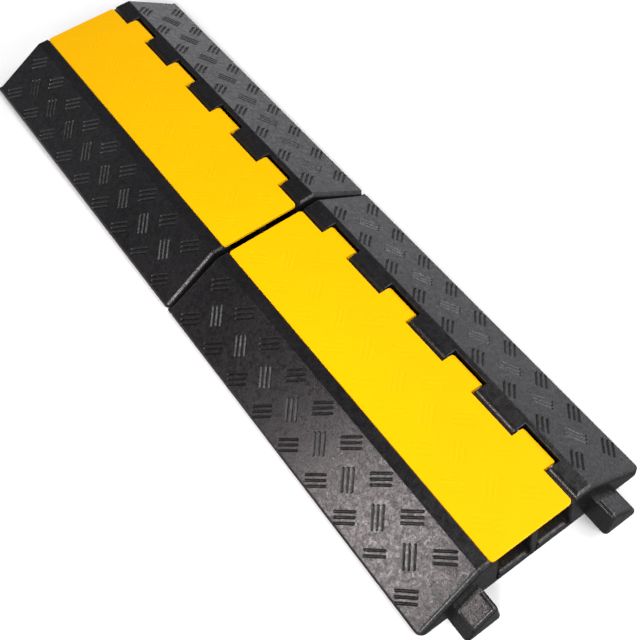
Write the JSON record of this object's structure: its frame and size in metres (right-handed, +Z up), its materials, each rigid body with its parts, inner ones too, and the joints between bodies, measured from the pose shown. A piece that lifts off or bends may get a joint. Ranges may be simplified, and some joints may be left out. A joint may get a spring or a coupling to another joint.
{
  "type": "cable protector ramp",
  "caption": "Low rubber floor ramp with covered cable channels, hinged yellow lids and interlocking end lugs, laid as joined modules.",
  "frame": {"origin": "centre of the footprint of both modules with the front lugs, on the floor", "axes": "+X across the ramp towards the hinge side, +Y along the cables away from the lugs, +Z up"},
  "size_m": [0.3, 1.0444, 0.05],
  "materials": {
    "black_rubber": "fine grained, satin",
    "yellow_plastic": "smooth satin",
    "steel_rod": "drawn bar"
  },
  "bodies": {
    "rear_module": {"rear_base": "black_rubber", "rear_hinge_rod": "steel_rod"},
    "front_module": {"front_base": "black_rubber", "front_hinge_rod": "steel_rod"},
    "front_lid": {"front_lid": "yellow_plastic"},
    "rear_lid": {"rear_lid": "yellow_plastic"}
  },
  "joints": [
    {"name": "front_module_lift", "type": "slide", "parent": "rear_module", "child": "front_module", "axis": [0, 0, 1], "range_m": [0, 0.06]},
    {"name": "front_lid_hinge", "type": "hinge", "parent": "front_module", "child": "front_lid", "pos_m": [0.061, -0.24025, 0.0425], "axis": [0, 1, 0], "range_deg": [0, 105]},
    {"name": "rear_lid_hinge", "type": "hinge", "parent": "rear_module", "child": "rear_lid", "pos_m": [0.061, 0.26675, 0.0425], "axis": [0, 1, 0], "range_deg": [0, 105]}
  ]
}
